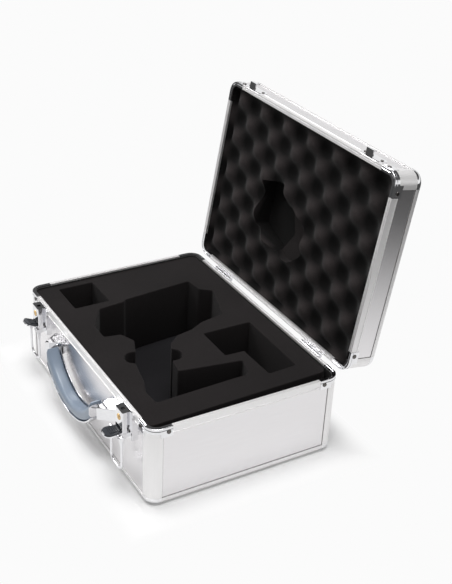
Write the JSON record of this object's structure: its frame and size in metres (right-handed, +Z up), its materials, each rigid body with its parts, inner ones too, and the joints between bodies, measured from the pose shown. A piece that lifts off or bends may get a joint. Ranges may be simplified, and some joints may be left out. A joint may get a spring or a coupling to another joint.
{
  "type": "radio transmitter case",
  "caption": "Hinged aluminium-framed case with key latches, a drop handle, a cut foam insert in the base and egg-crate foam in the lid.",
  "frame": {"origin": "centre of the base's footprint, on the surface that it stands on", "axes": "+Z up, -Y towards the front with the handle and latches, +X to the right seen from the front; the lid is open at rest"},
  "size_m": [0.3328, 0.3399, 0.3363],
  "materials": {
    "panel": "brushed sheet",
    "rail": "satin extrusion",
    "cap": "polished",
    "chrome": "polished plate",
    "rivet": "polished",
    "steel": "plated",
    "lining": "thin grained film",
    "foam": "open-cell foam",
    "foam_sheet": "open-cell foam",
    "brass": "polished",
    "pad": "ribbed",
    "grip": "soft satin"
  },
  "bodies": {
    "base": {"base_back_panel": "panel", "base_bottom_corners": "cap", "base_bottom_rails": "rail", "base_corner_rails": "rail", "base_floor_panel": "panel", "base_foam_floor": "foam_sheet", "base_foam_tray": "foam", "base_front_panel": "panel", "base_left_panel": "panel", "base_lining": "lining", "base_right_panel": "panel", "base_rim_corners": "chrome", "base_rim_rails": "rail", "base_rim_rivets": "rivet", "hinge_base_leaves": "steel", "hinge_base_rivets": "rivet", "hinge_pins": "steel", "latch_rivets": "rivet", "left_handle_bracket": "chrome", "left_latch_housing": "chrome", "left_latch_plate": "chrome", "left_lever_pin": "chrome", "right_handle_bracket": "chrome", "right_latch_housing": "chrome", "right_latch_plate": "chrome", "right_lever_pin": "chrome"},
    "lid": {"hinge_lid_leaves": "steel", "hinge_lid_rivets": "rivet", "keeper_rivets": "rivet", "left_keeper": "chrome", "lid_back_panel": "panel", "lid_corner_rails": "rail", "lid_foam": "foam", "lid_front_panel": "panel", "lid_left_panel": "panel", "lid_right_panel": "panel", "lid_rim_corners": "chrome", "lid_rim_rails": "rail", "lid_rim_rivets": "rivet", "lid_top_corners": "chrome", "lid_top_panel": "panel", "lid_top_rails": "rail", "right_keeper": "chrome"},
    "handle": {"handle_grip": "grip", "handle_edge_band": "chrome", "handle_back_strap": "steel", "handle_pins": "steel"},
    "left_lever": {"left_latch_lever": "chrome", "left_thumb_pad": "pad"},
    "left_loop": {"left_latch_loop": "chrome"},
    "left_key": {"left_key_plug": "brass"},
    "right_lever": {"right_latch_lever": "chrome", "right_thumb_pad": "pad"},
    "right_loop": {"right_latch_loop": "chrome"},
    "right_key": {"right_key_plug": "brass"}
  },
  "joints": [
    {"name": "lid_hinge", "type": "hinge", "parent": "base", "child": "lid", "pos_m": [0, 0.11915, 0.0955], "axis": [1, 0, 0], "range_deg": [0, 99]},
    {"name": "handle_swing", "type": "hinge", "parent": "base", "child": "handle", "pos_m": [0, -0.12475, 0.067], "axis": [-1, 0, 0], "range_deg": [0, 95]},
    {"name": "left_lever_swing", "type": "hinge", "parent": "base", "child": "left_lever", "pos_m": [-0.1193, -0.12375, 0.0667], "axis": [1, 0, 0], "range_deg": [0, 113]},
    {"name": "left_loop_swing", "type": "hinge", "parent": "left_lever", "child": "left_loop", "pos_m": [-0.1193, -0.12776, 0.07057], "axis": [1, 0, 0], "range_deg": [-299.86, 0]},
    {"name": "left_key_turn", "type": "hinge", "parent": "base", "child": "left_key", "pos_m": [-0.1193, -0.12375, 0.088], "axis": [0, 1, 0], "range_deg": [0, 90]},
    {"name": "right_lever_swing", "type": "hinge", "parent": "base", "child": "right_lever", "pos_m": [0.1142, -0.12375, 0.0667], "axis": [1, 0, 0], "range_deg": [0, 90]},
    {"name": "right_loop_swing", "type": "hinge", "parent": "right_lever", "child": "right_loop", "pos_m": [0.1142, -0.12895, 0.0687], "axis": [1, 0, 0], "range_deg": [-276.86, 0]},
    {"name": "right_key_turn", "type": "hinge", "parent": "base", "child": "right_key", "pos_m": [0.1142, -0.12375, 0.088], "axis": [0, 1, 0], "range_deg": [0, 90]}
  ],
  "couplings": [
    {"joint": "left_loop_swing", "follows": "left_lever_swing", "ratio": -2.6492},
    {"joint": "right_loop_swing", "follows": "right_lever_swing", "ratio": -3.0707}
  ]
}
